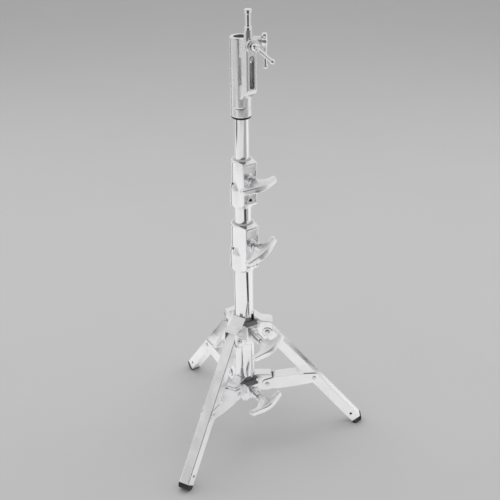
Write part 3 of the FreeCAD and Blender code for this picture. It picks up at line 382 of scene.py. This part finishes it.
def make_materials():
    """Every finish by its name. Legs differ only in the way that their grain runs."""
    made = {name: make_chrome(name, **finish) for name, finish in CHROMES.items()}
    made |= {name: make_steel(name, **finish) for name, finish in STEELS.items()}
    made |= {name: make_rubber(name, **finish) for name, finish in RUBBERS.items()}
    made["bush_nylon"] = make_nylon("bush_nylon", **NYLON)
    made["pad_brass"] = make_brass("pad_brass", **BRASS)
    for side, azimuth in LEG_AZIMUTHS.items():
        name = f"{side}_leg_chrome"
        made[name] = make_chrome(name, grain_turn=grain_along(azimuth, -LEG_ANGLE), **LEG_CHROME)
    return made


def finish_nodes(materials):
    """Gives each sub-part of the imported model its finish."""
    for name, part in NODES.items():
        slot = SLOT_OF[name]
        if slot == "leg_chrome":
            slot = f"{name}_chrome"
        if name.endswith("fixing_screw"):
            slot = "socket_steel"
        part.data.materials.clear()
        part.data.materials.append(materials[slot])


# Cast and turned pieces, finer than the solids they stand for

SIDES = 24
FINE_SIDES = 2 * SIDES
SOFTEN_FACTOR = 0.5


def turns(sides):
    """Angles evenly round a circle."""
    return [2 * math.pi * step / sides for step in range(sides)]


def circle(at, radius, sides=SIDES):
    """A ring of points about the X axis."""
    return [Vector((at, radius * math.cos(turn), radius * math.sin(turn))) for turn in turns(sides)]


def hexagon(at, across_flats):
    """A hexagon about the X axis, with as many points as the circles beside it."""
    ring = []
    for turn in turns(SIDES):
        off_flat = (turn + math.pi / 6) % (math.pi / 3) - math.pi / 6
        radius = across_flats / 2 / math.cos(off_flat)
        ring.append(Vector((at, radius * math.cos(turn), radius * math.sin(turn))))
    return ring


def turned(profile, seat=0.0, sides=SIDES):
    """Circles along the X axis for a profile of (place, radius)."""
    return [circle(seat + at, radius, sides) for at, radius in profile]


def add_skin(mesh, rings, place):
    """A closed skin over rings of equal count, in millimetres before it is placed."""
    loops = [[mesh.verts.new(place @ (point * MM)) for point in ring] for ring in rings]
    for near, far in zip(loops, loops[1:]):
        for i in range(len(near)):
            j = (i + 1) % len(near)
            mesh.faces.new((near[i], near[j], far[j], far[i]))
    mesh.faces.new(loops[0])
    mesh.faces.new(loops[-1])


def finished_mesh(name, mesh, sharp=None):
    """The finished mesh, smooth but for edges sharper than an angle."""
    bmesh.ops.recalc_face_normals(mesh, faces=mesh.faces)
    data = bpy.data.meshes.new(name)
    mesh.to_mesh(data)
    mesh.free()
    data.shade_smooth()
    if sharp:
        data.set_sharp_from_angle(angle=math.radians(sharp))
    return data


def cast_skin(data, voxel, passes, kept):
    """One cast skin over forms that overlap, with softened corners."""
    holder = bpy.data.objects.new("mould", data)
    bpy.context.scene.collection.objects.link(holder)
    fuse = holder.modifiers.new("fuse", "REMESH")
    fuse.mode = "VOXEL"
    fuse.voxel_size = voxel * MM
    soften = holder.modifiers.new("soften", "SMOOTH")
    soften.factor = SOFTEN_FACTOR
    soften.iterations = passes
    thin = holder.modifiers.new("thin", "DECIMATE")
    thin.ratio = kept
    seen = bpy.context.evaluated_depsgraph_get()
    skin = bpy.data.meshes.new_from_object(holder.evaluated_get(seen))
    bpy.data.objects.remove(holder)
    skin.shade_smooth()
    return skin


def add_detail(name, data, node, material):
    """A piece that is fixed to a sub-part and rides on its body."""
    data.materials.clear()
    data.materials.append(material)
    piece = bpy.data.objects.new(name, data)
    bpy.context.scene.collection.objects.link(piece)
    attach(piece, body_of(NODES[node])[0])
    return piece


def add_piece(name, data, node, material):
    """A piece that stands for one sub-part, on the same body."""
    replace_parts(add_detail(name, data, node, material), node)


def seat_on_axis(node, tilt):
    """The place of a handle or lever: its back on the hinge's axis, turned out and tilted."""
    body = body_of(NODES[node])[0]
    hinge = next(joint for joint in frame["joints"] if joint["child"] == body)
    axis = Vector(hinge["axis"])
    back = min(vertex.co.dot(axis) for vertex in NODES[node].data.vertices)
    spot = axis * back + Vector((0, 0, hinge["pos_m"][2]))
    turn = Matrix.Rotation(heading(hinge), 4, "Z") @ Matrix.Rotation(math.radians(tilt), 4, "X")
    return Matrix.Translation(spot) @ turn


def between(stations, at):
    """A value read off straight runs between stations of (place, value)."""
    for (low, first), (high, last) in zip(stations, stations[1:]):
        if at <= high:
            part = (at - low) / (high - low)
            return first + (last - first) * part
    return stations[-1][1]


def eased(low, high, at):
    """0 below one place and 1 above another, with a smooth step between them."""
    part = min(max((at - low) / (high - low), 0.0), 1.0)
    return part * part * (3 - 2 * part)


# Wing handle, in millimetres from the middle of the hub's back

HANDLE_TILTS = {"leg_t_handle": 27, "brace_t_handle": 21, "lower_t_handle": 32, "upper_t_handle": 9}
WING_HALF_SPAN = 45.0
WING_STEP = 1.5
WING_TIP = 8.0
WING_TIP_POWER = 2.4
WING_TIP_LEAST = 0.0025
WING_FRONT = ((0, 45.0), (8, 44.4), (16, 42.4), (24, 39.4), (32, 36.4), (38, 34.2), (45, 32.5))
WING_BACK = ((0, 8.0), (8, 9.5), (13, 15.0), (19, 21.0), (26, 22.6), (33, 21.4), (39, 19.0),
             (45, 17.6))
WING_HALF_THICKNESS = ((0, 8.5), (14, 8.4), (24, 7.7), (34, 6.9), (45, 7.2))
WING_SQUARENESS = 5.0
HOLLOW_DEPTH = 4.0
HOLLOW_HALF_WIDTH = 3.4
HOLLOW_SIDE = (HOLLOW_HALF_WIDTH - 1, HOLLOW_HALF_WIDTH + 1)
HOLLOW_START = (11, 16)
HOLLOW_END = (29, 35)
HUB_PROFILE = ((0, 6.4), (0, 8.2), (0.8, 9.0), (6, 9.0), (9, 9.6), (13, 10.2), (30, 9.6), (30, 3.0))


def squared(part):
    """A share of a half width or height, from a round section to a squarer one."""
    return math.copysign(abs(part) ** (2 / WING_SQUARENESS), part)


def wing_ring(y):
    """One cross-section of the wing, hollowed at the back between hub and tip."""
    reach = abs(y)
    front = between(WING_FRONT, reach)
    back = between(WING_BACK, reach)
    past = max(reach - (WING_HALF_SPAN - WING_TIP), 0.0) / WING_TIP
    shrink = math.sqrt(max(1 - past ** WING_TIP_POWER, WING_TIP_LEAST))
    middle = (front + back) / 2
    half = (front - back) / 2 * shrink
    thick = between(WING_HALF_THICKNESS, reach) * shrink
    hollow = HOLLOW_DEPTH * eased(*HOLLOW_START, reach) * (1 - eased(*HOLLOW_END, reach))
    ring = []
    for turn in turns(FINE_SIDES):
        side = math.cos(turn)
        x = half * squared(side)
        z = thick * squared(math.sin(turn))
        if side < 0:
            x += hollow * (1 - eased(*HOLLOW_SIDE, abs(z)))
        ring.append(Vector((middle + x, y, z)))
    return ring


def make_handles(material):
    """The four cast wing handles."""
    steps = int(2 * WING_HALF_SPAN / WING_STEP)
    wings = [wing_ring(-WING_HALF_SPAN + WING_STEP * step) for step in range(steps + 1)]
    for node, tilt in HANDLE_TILTS.items():
        place = seat_on_axis(node, tilt)
        mesh = bmesh.new()
        add_skin(mesh, wings, place)
        add_skin(mesh, turned(HUB_PROFILE, sides=FINE_SIDES), place)
        data = cast_skin(finished_mesh(node, mesh), voxel=0.8, passes=4, kept=0.35)
        add_piece(f"cast_{node}", data, node, material)


# Clamp levers of the head, in millimetres from the middle of the hub's back

LEVER_TILTS = {"socket_lever": -90, "spigot_lever": -42}
LEVER_SHORT = {"socket_lever": 19.0, "spigot_lever": 11.0}
LEVER_SHORT_BALL = 6.3
LEVER_LONG = 51.0
LEVER_BALL = 6.0
LEVER_TRIM = 0.05
LEVER_STEP = 1.0
LEVER_MIDDLE = 6.5
LEVER_RISE = 2.0
LEVER_ARM = ((-20, 4.0), (0, 5.6), (12, 4.8), (36, 3.9), (52, 4.2))
LEVER_HUB = ((0, 6.5), (0, 7.9), (0.7, 8.5), (8.0, 8.5), (10.5, 7.9), (12.4, 6.0), (13.0, 3.0))


def lever_radius(y, short):
    """The arm's radius, with a ball at either end."""
    radius = between(LEVER_ARM, y)
    beyond = y > LEVER_LONG or y < LEVER_SHORT_BALL - short
    for centre, ball in ((LEVER_LONG, LEVER_BALL), (LEVER_SHORT_BALL - short, LEVER_SHORT_BALL)):
        inside = ball ** 2 - (y - centre) ** 2
        if inside > 0:
            radius = math.sqrt(inside) if beyond else max(radius, math.sqrt(inside))
    return radius


def make_levers(material):
    """The two levers: a turned hub and an arm with a ball at each end."""
    for node, short in LEVER_SHORT.items():
        place = seat_on_axis(node, LEVER_TILTS[node])
        mesh = bmesh.new()
        add_skin(mesh, turned(LEVER_HUB, sides=FINE_SIDES), place)
        low = LEVER_TRIM - short
        high = LEVER_LONG + LEVER_BALL - LEVER_TRIM
        count = int((high - low) / LEVER_STEP)
        rings = []
        for step in range(count + 1):
            y = low + (high - low) * step / count
            middle = LEVER_MIDDLE + LEVER_RISE * max(y, 0) / LEVER_LONG
            ring = circle(0, lever_radius(y, short))
            rings.append([Vector((middle + point.y, y, point.z)) for point in ring])
        add_skin(mesh, rings, place)
        data = cast_skin(finished_mesh(node, mesh), voxel=0.5, passes=5, kept=0.35)
        add_piece(f"cast_{node}", data, node, material)


# Bolts and rivets, in millimetres along their own axis

LEG_PIVOT_RADIUS = 54.0
BRACE_PIVOT_RADIUS = 54.0
BOLT_SEAT = 18.5
PIN_SEAT = 15.5
STUB_INNER = 13.0
STUB_SEAT = 15.2
SHANK_RADIUS = 3.95
SHANK = ((-1.0, SHANK_RADIUS), (1.0, SHANK_RADIUS))
STUB_SHANK = ((STUB_INNER, SHANK_RADIUS), (STUB_SEAT, SHANK_RADIUS))
CENTRE_RADIUS = 0.4
WASHER = ((0, 6.5), (0.8, 6.5), (1.0, 6.3))
BUTTON_HEAD = ((1.0, 5.9), (2.2, 5.75), (3.2, 5.1), (3.9, 4.2), (4.3, 3.2), (4.3, 2.9))
BUTTON_SOCKET_FLATS = 4.7
BUTTON_SOCKET = (4.1, 2.1)
NUT_FLATS = 10.4
NUT_FACES = (1.0, 3.3)
BOLT_TIP = ((3.7, 4.9), (3.7, 3.9), (4.1, 3.9), (4.4, 3.5), (4.4, CENTRE_RADIUS))
RIVET_HEAD = ((0, 5.5), (0.4, 5.45), (1.0, 5.0), (1.5, 4.0), (1.85, 2.8), (1.95, 1.9), (1.7, 1.4),
              (1.55, 0.3))
FASTENER_SHARP = 40


def button_end(seat):
    """Washer and round head with a hexagon socket, from the seat outward."""
    socket = [hexagon(seat + at, BUTTON_SOCKET_FLATS) for at in BUTTON_SOCKET]
    floor = circle(seat + BUTTON_SOCKET[-1], CENTRE_RADIUS)
    return turned(WASHER + BUTTON_HEAD, seat) + socket + [floor]


def nut_end(seat):
    """Washer, hexagon nut and the bolt's tip, from the seat outward."""
    nut = [hexagon(seat + at, NUT_FLATS) for at in NUT_FACES]
    return turned(WASHER, seat) + nut + turned(BOLT_TIP, seat)


def rivet_end(seat):
    """Domed rivet head with a set mark, from the seat outward."""
    return turned(RIVET_HEAD, seat)


def mirrored(rings):
    """The same rings on the other side of the middle, from the outside in."""
    return [[Vector((-point.x, point.y, point.z)) for point in ring] for ring in reversed(rings)]


def across(azimuth, radius, height):
    """The place of a pin that lies across a leg."""
    turn = Matrix.Rotation(math.radians(azimuth), 4, "Z")
    return turn @ Matrix.Translation((radius, 0, height)) @ Matrix.Rotation(math.pi / 2, 4, "Z")


def make_brace_rivets(side, azimuth, material):
    """The stub rivets in the two plates of a brace's outer end."""
    node = f"{side}_brace_rivets"
    low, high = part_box(node)
    middle = (low + high) / 2
    place = across(azimuth, Vector((middle.x, middle.y)).length, middle.z)
    stub = turned(STUB_SHANK) + rivet_end(STUB_SEAT)
    mesh = bmesh.new()
    add_skin(mesh, stub, place)
    add_skin(mesh, mirrored(stub), place)
    add_piece(f"domed_{node}", finished_mesh(node, mesh, FASTENER_SHARP), node, material)


def make_fasteners(material):
    """Leg bolts, brace pins and the stub rivets of each brace."""
    heights = {joint["child"]: joint["pos_m"][2] for joint in frame["joints"] if "pos_m" in joint}
    bolt = mirrored(nut_end(BOLT_SEAT)) + turned(SHANK) + button_end(BOLT_SEAT)
    pin = mirrored(rivet_end(PIN_SEAT)) + turned(SHANK) + rivet_end(PIN_SEAT)
    bolts = bmesh.new()
    pins = bmesh.new()
    for side, azimuth in LEG_AZIMUTHS.items():
        add_skin(bolts, bolt, across(azimuth, LEG_PIVOT_RADIUS * MM, heights[f"{side}_leg_arm"]))
        add_skin(pins, pin, across(azimuth, BRACE_PIVOT_RADIUS * MM, heights[f"{side}_brace_arm"]))
        make_brace_rivets(side, azimuth, material)
    data = finished_mesh("leg_bolts", bolts, FASTENER_SHARP)
    add_piece("socket_leg_bolts", data, "leg_bolts", material)
    data = finished_mesh("brace_pins", pins, FASTENER_SHARP)
    add_piece("domed_brace_pins", data, "brace_pins", material)


# Castings and feet

CASTINGS = {"leg_collar": "cast_chrome", "brace_collar": "cast_chrome",
            "lower_collar": "cast_chrome", "upper_collar": "cast_chrome", "head": "head_chrome"}
BOSS_RIM = ((42.5, 13.2), (42.5, 14.6), (43.4, 15.4), (48.0, 15.4), (49.4, 14.8), (49.9, 13.6),
            (49.9, 13.2))
BOSS_SHARP = 50


def make_castings(materials):
    """Spiders, riser collars and head with the soft corners of a sand casting."""
    for node, finish in CASTINGS.items():
        data = cast_skin(NODES[node].data.copy(), voxel=0.9, passes=5, kept=0.2)
        add_piece(f"cast_{node}", data, node, materials[finish])


def make_feet(material):
    """Moulded feet with rounded edges."""
    for side in LEG_AZIMUTHS:
        node = f"{side}_foot"
        data = cast_skin(NODES[node].data.copy(), voxel=0.6, passes=6, kept=0.3)
        add_piece(f"moulded_{node}", data, node, material)


def make_boss_rim(material):
    """The thick rim round the boss of the small spigot's clamp."""
    hinge = joint_named("spigot_lever_turn")
    place = Matrix.Translation((0, 0, hinge["pos_m"][2])) @ Matrix.Rotation(heading(hinge), 4, "Z")
    mesh = bmesh.new()
    add_skin(mesh, turned(BOSS_RIM, sides=FINE_SIDES), place)
    data = finished_mesh("head_boss_rim", mesh, BOSS_SHARP)
    add_detail("head_boss_rim", data, "head", material)


# Grub screws in the sides of the riser collars, in millimetres

GRUB_SEATS = {"lower_collar": ("lower_handle_turn", 27.8),
              "upper_collar": ("upper_handle_turn", 24.6)}
GRUB_HEIGHT = 57.0
GRUB_TURN = math.radians(-90)
GRUB_RINGS = ((-4.0, 2.6), (-0.2, 2.6), (0.0, 2.4), (0.0, 1.75))
GRUB_SOCKET_FLATS = 3.0
GRUB_SOCKET = (-0.1, -2.2)


def make_grub_screws(material):
    """A socket screw sunk flush in the side of each riser collar."""
    rings = turned(GRUB_RINGS) + [hexagon(at, GRUB_SOCKET_FLATS) for at in GRUB_SOCKET]
    for node, (joint_name, seat) in GRUB_SEATS.items():
        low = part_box(node)[0]
        up = Matrix.Translation((0, 0, low.z + GRUB_HEIGHT * MM))
        turn = Matrix.Rotation(heading(joint_named(joint_name)) + GRUB_TURN, 4, "Z")
        place = up @ turn @ Matrix.Translation((seat * MM, 0, 0))
        mesh = bmesh.new()
        add_skin(mesh, rings, place)
        name = f"{node}_grub_screw"
        add_detail(name, finished_mesh(name, mesh, FASTENER_SHARP), node, material)


# Dark wear plates on the clamp blocks of the spiders, in millimetres from the column's axis

PLATE_SEATS = {"leg_collar": ("leg_handle_turn", 22.0), "brace_collar": ("brace_handle_turn", 17.0)}
PLATE_REACH = 38.6
PLATE_HALF_WIDTH = 15.0
PLATE_CORNER = 2.4
PLATE_GAP = 0.9
PLATE_LEVELS = ((-0.6, 0.0), (2.5, 0.0), (3.0, 0.5))
PLATE_STEPS = 12
CORNER_STEPS = 4
PLATE_SHARP = 35


def plate_outline(tube_radius, inset):
    """The outline of a wear plate: hollowed round the column, with two rounded corners in front."""
    inner = tube_radius + PLATE_GAP + inset
    half = PLATE_HALF_WIDTH - inset
    front = PLATE_REACH - inset
    spread = math.asin(half / inner)
    points = []
    for step in range(PLATE_STEPS + 1):
        turn = spread * (1 - 2 * step / PLATE_STEPS)
        points.append((inner * math.cos(turn), inner * math.sin(turn)))
    for side in (-1, 1):
        for step in range(CORNER_STEPS + 1):
            part = step / CORNER_STEPS
            turn = math.pi / 2 * (part if side > 0 else 1 - part)
            points.append((front - PLATE_CORNER * (1 - math.cos(turn)),
                           side * (half - PLATE_CORNER * (1 - math.sin(turn)))))
    return points


def make_wear_plates(material):
    """A rubber plate on top of each spider's clamp block."""
    low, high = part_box("base_tube")
    radius = (high.x - low.x) / 2 / MM
    rings = [[Vector((x, y, level)) for x, y in plate_outline(radius, inset)]
             for level, inset in PLATE_LEVELS]
    for node, (joint_name, above) in PLATE_SEATS.items():
        hinge = joint_named(joint_name)
        height = hinge["pos_m"][2] + above * MM
        place = Matrix.Translation((0, 0, height)) @ Matrix.Rotation(heading(hinge), 4, "Z")
        mesh = bmesh.new()
        add_skin(mesh, rings, place)
        name = f"{node}_wear_plate"
        add_detail(name, finished_mesh(name, mesh, PLATE_SHARP), node, material)


# Floor, world and lamps

FLOOR_HALF = 300.0
FLOOR_TONES = (0.46, 0.48)
BROAD_MOTTLE = 3.0
CARD_FINISH = dict(Roughness=0.85, Specular_IOR_Level=0.2)
HORIZON_BRIGHTNESS = 0.80
ZENITH_BRIGHTNESS = 0.70
FADE_BAND = (0.45, 1.0)
LAMPS = {
    "top_lamp": dict(spot=(0.0, 0.5, 3.2), aim=(0, 0, 0), size=3.6, power=36),
    "left_lamp": dict(spot=(-2.5, 1.2, 1.9), aim=(0, 0, 0.5), size=2.2, power=14),
    "right_lamp": dict(spot=(2.5, 1.0, 1.9), aim=(0, 0, 0.5), size=2.2, power=14),
}


def add_stage(name, corners, faces, tones, mottle):
    """A sheet of the stage: plain matt card whose tone varies a little from place to place."""
    mesh = bpy.data.meshes.new(name)
    mesh.from_pydata(corners, [], faces)
    sheet = bpy.data.objects.new(name, mesh)
    bpy.context.scene.collection.objects.link(sheet)
    shader = Shader(f"{name}_card", **CARD_FINISH)
    low, high = ((tone, tone, tone) for tone in tones)
    shader.to_surface("Base Color", shader.mix(shader.noise(mottle, detail=4.0), low, high))
    mesh.materials.append(shader.material)
    return sheet


def make_floor():
    """A wide grey floor."""
    corners = [(x * FLOOR_HALF, y * FLOOR_HALF, 0) for x, y in ((-1, -1), (1, -1), (1, 1), (-1, 1))]
    add_stage("floor", corners, [range(4)], FLOOR_TONES, BROAD_MOTTLE)


def make_world():
    """A pale studio, brightest at the horizon."""
    world = bpy.data.worlds.new("studio")
    bpy.context.scene.world = world
    world.use_nodes = True
    tree = world.node_tree
    spot = tree.nodes.new("ShaderNodeTexCoord")
    split = tree.nodes.new("ShaderNodeSeparateXYZ")
    tree.links.new(spot.outputs["Generated"], split.inputs[0])
    fade = tree.nodes.new("ShaderNodeMapRange")
    fade.interpolation_type = "SMOOTHSTEP"
    fade.inputs["From Min"].default_value = FADE_BAND[0]
    fade.inputs["From Max"].default_value = FADE_BAND[1]
    fade.inputs["To Min"].default_value = HORIZON_BRIGHTNESS
    fade.inputs["To Max"].default_value = ZENITH_BRIGHTNESS
    tree.links.new(split.outputs["Z"], fade.inputs["Value"])
    tree.links.new(fade.outputs["Result"], tree.nodes["Background"].inputs["Color"])


def add_lamp(name, spot, aim, size, power):
    """A square soft lamp, which isn't mirrored as a hard patch in the chrome."""
    data = bpy.data.lights.new(name, "AREA")
    data.shape = "SQUARE"
    data.size = size
    data.energy = power
    lamp = bpy.data.objects.new(name, data)
    lamp.visible_glossy = False
    lamp.location = spot
    lamp.rotation_euler = (Vector(aim) - Vector(spot)).to_track_quat("-Z", "Y").to_euler()
    bpy.context.scene.collection.objects.link(lamp)


def make_lamps():
    """Soft lamps above and to both sides at the back."""
    for name, lamp in LAMPS.items():
        add_lamp(name, **lamp)


# Cards that show in reflections only: a white one to brighten the chrome, dark ones for streaks

CARD_SIDES = 64
WHITE_REACH = (0.02, 8.8)
WHITE_HEIGHT = 0.001
WHITE_TONES = (0.81, 0.84)
FLAG_HEIGHT = 0.002
FLAG_SPREAD = 1.3
FLAG_MOTTLE = 6.0
FLOOR_FLAGS = {
    "right_flag": (0.04, ((0.47, -0.20), (0.41, -0.42), (0.36, -1.42), (1.10, -1.05),
                          (0.60, -0.34))),
    "far_right_flag": (0.36, ((0.74, -0.40), (1.10, -1.05), (0.60, -1.60), (2.6, -2.2),
                              (2.6, -0.40), (1.1, -0.22))),
    "left_flag": (0.03, ((-1.95, 0.3), (-1.95, -1.0), (-2.30, -1.0), (-2.30, 0.3))),
    "front_flag": (0.03, ((-1.6, -2.3), (1.6, -2.3), (3.0, -6.0), (-3.0, -6.0))),
}
BACK_FLAGS = {"back_right_flag": (0.05, 47, 54), "back_flag": (0.30, 72, 100),
              "back_left_flag": (0.04, 131, 146)}
BACK_REACH = (0.42, 5.0)
ROOM_FLAG = ((-6.0, -4.2, 0.30), (6.0, -4.2, 0.30), (6.0, -4.2, 6.0), (-6.0, -4.2, 6.0))
ROOM_TONES = (0.20, 0.23)
ROOM_MOTTLE = 1.0


def add_card(name, corners, faces, tones, mottle):
    """A card that is seen in reflections only, and neither lights nor shades the stand."""
    card = add_stage(name, corners, faces, tones, mottle)
    card.visible_camera = False
    card.visible_diffuse = False
    card.visible_shadow = False


def add_flag(name, outline, tone):
    """A dark card flat on the floor."""
    corners = [(x, y, FLAG_HEIGHT) for x, y in outline]
    add_card(name, corners, [range(len(corners))], (tone, tone * FLAG_SPREAD), FLAG_MOTTLE)


def round_spot(turn, radius):
    return radius * math.cos(turn), radius * math.sin(turn)


def make_white_ring():
    """A white ring on the floor, from close to the column outward."""
    corners = [(*round_spot(turn, radius), WHITE_HEIGHT)
               for radius in WHITE_REACH for turn in turns(CARD_SIDES)]
    faces = []
    for i in range(CARD_SIDES):
        j = (i + 1) % CARD_SIDES
        faces.append((i, j, CARD_SIDES + j, CARD_SIDES + i))
    add_card("white_ring", corners, faces, WHITE_TONES, BROAD_MOTTLE)


def make_cards():
    """The white ring, dark shapes and wedges on it, and a dark wall behind the camera."""
    make_white_ring()
    for name, (tone, outline) in FLOOR_FLAGS.items():
        add_flag(name, outline, tone)
    near, far = BACK_REACH
    for name, (tone, first, last) in BACK_FLAGS.items():
        outline = [round_spot(math.radians(angle), radius)
                   for angle, radius in ((first, near), (first, far), (last, far), (last, near))]
        add_flag(name, outline, tone)
    add_card("room_flag", ROOM_FLAG, [range(4)], ROOM_TONES, ROOM_MOTTLE)


# The whole scene

make_camera()
MATERIALS = make_materials()
finish_nodes(MATERIALS)
make_handles(MATERIALS["handle_chrome"])
make_levers(MATERIALS["lever_chrome"])
make_fasteners(MATERIALS["bolt_steel"])
make_castings(MATERIALS)
make_feet(MATERIALS["foot_rubber"])
make_boss_rim(MATERIALS["head_chrome"])
make_grub_screws(MATERIALS["socket_steel"])
make_wear_plates(MATERIALS["plate_rubber"])
make_floor()
make_world()
make_lamps()
make_cards()
bpy.context.scene.view_settings.view_transform = "Standard"
